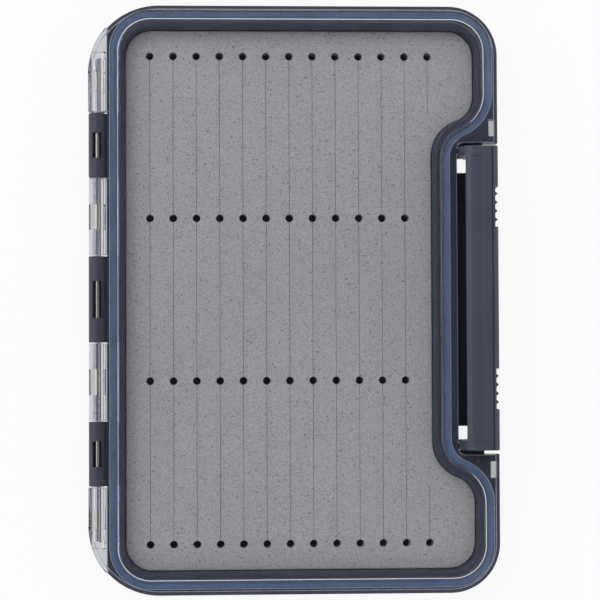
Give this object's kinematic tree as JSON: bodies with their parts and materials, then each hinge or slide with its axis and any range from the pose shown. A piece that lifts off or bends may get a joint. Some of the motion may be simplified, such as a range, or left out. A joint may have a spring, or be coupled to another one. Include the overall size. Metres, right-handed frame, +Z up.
{
  "type": "fly box",
  "caption": "Slim waterproof fishing fly box: dark tray with slit grey foam and a blue silicone seal, clear hinged lid and one long side latch",
  "frame": {"origin": "centre of the closed box's resting face, under the middle of its overall length and width", "axes": "+Z up through the lid with the box lying flat, +Y along the hinge and the latch, +X from the hinge to the latch"},
  "size_m": [0.1282, 0.184, 0.022],
  "materials": {
    "tray_plastic": "fine satin moulding, dark slate blue",
    "adhesive_sheet": "thin double-sided film",
    "slit_foam": "fine closed-cell foam, mid grey",
    "seal_silicone": "smooth silicone, blue",
    "clear_plastic": "polished clear polycarbonate",
    "pin_steel": "drawn stainless rod",
    "latch_plastic": "fine satin moulding, dark slate blue"
  },
  "bodies": {
    "case": {"base_tray": "tray_plastic", "foam_adhesive": "adhesive_sheet", "foam_pad": "slit_foam", "seal_gasket": "seal_silicone", "hinge_pin": "pin_steel", "latch_pin": "pin_steel"},
    "lid": {"lid": "clear_plastic"},
    "latch": {"latch": "latch_plastic"}
  },
  "joints": [
    {"name": "lid_hinge", "type": "hinge", "parent": "case", "child": "lid", "pos_m": [-0.0614, 0, 0.0126], "axis": [0, -1, 0], "range_deg": [0, 180]},
    {"name": "latch_swing", "type": "hinge", "parent": "case", "child": "latch", "pos_m": [0.0603, 0, 0.0042], "axis": [0, 1, 0], "range_deg": [0, 90]}
  ]
}
